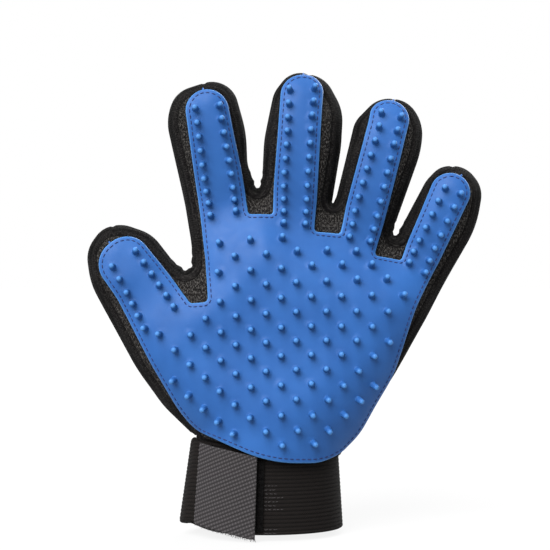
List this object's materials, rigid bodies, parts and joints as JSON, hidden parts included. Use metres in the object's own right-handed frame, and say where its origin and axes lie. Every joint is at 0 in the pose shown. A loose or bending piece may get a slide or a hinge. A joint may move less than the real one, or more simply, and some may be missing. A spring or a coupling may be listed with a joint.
{
  "type": "pet grooming glove",
  "caption": "Five-finger left-hand grooming glove with a nubbed rubber palm pad, fabric shell and elastic wrist band with a hook-and-loop strap.",
  "frame": {"origin": "centre of the wrist opening, in the plane of the wrist band's rim", "axes": "+Z from the wrist opening to the fingertips, +Y out of the back of the hand (the palm and its rubber pad face -Y), the thumb points to -X"},
  "size_m": [0.1963, 0.0607, 0.2289],
  "materials": {
    "rubber": "satin moulded rubber",
    "knit": "matt brushed knit",
    "air_mesh": "matt spacer mesh",
    "elastic": "ribbed woven elastic",
    "loop": "brushed loop pile",
    "hook": "woven tape back with hooks below"
  },
  "bodies": {
    "glove": {"rubber_pad": "rubber", "palm_panel": "knit", "back_panel": "air_mesh", "gusset_thumb_index": "knit", "gusset_index_middle": "knit", "gusset_middle_ring": "knit", "gusset_ring_little": "knit", "thumb_side_panel": "knit", "little_side_panel": "knit", "wrist_band": "elastic", "strap_anchor": "elastic", "loop_tape": "loop"},
    "strap": {"strap_tab": "elastic", "hook_tape": "hook"}
  },
  "joints": [
    {"name": "strap_fold", "type": "hinge", "parent": "glove", "child": "strap", "pos_m": [-0.04079, -0.00049, 0], "axis": [-0.1036, -0.0007, -0.9946], "range_deg": [0, 150]}
  ]
}
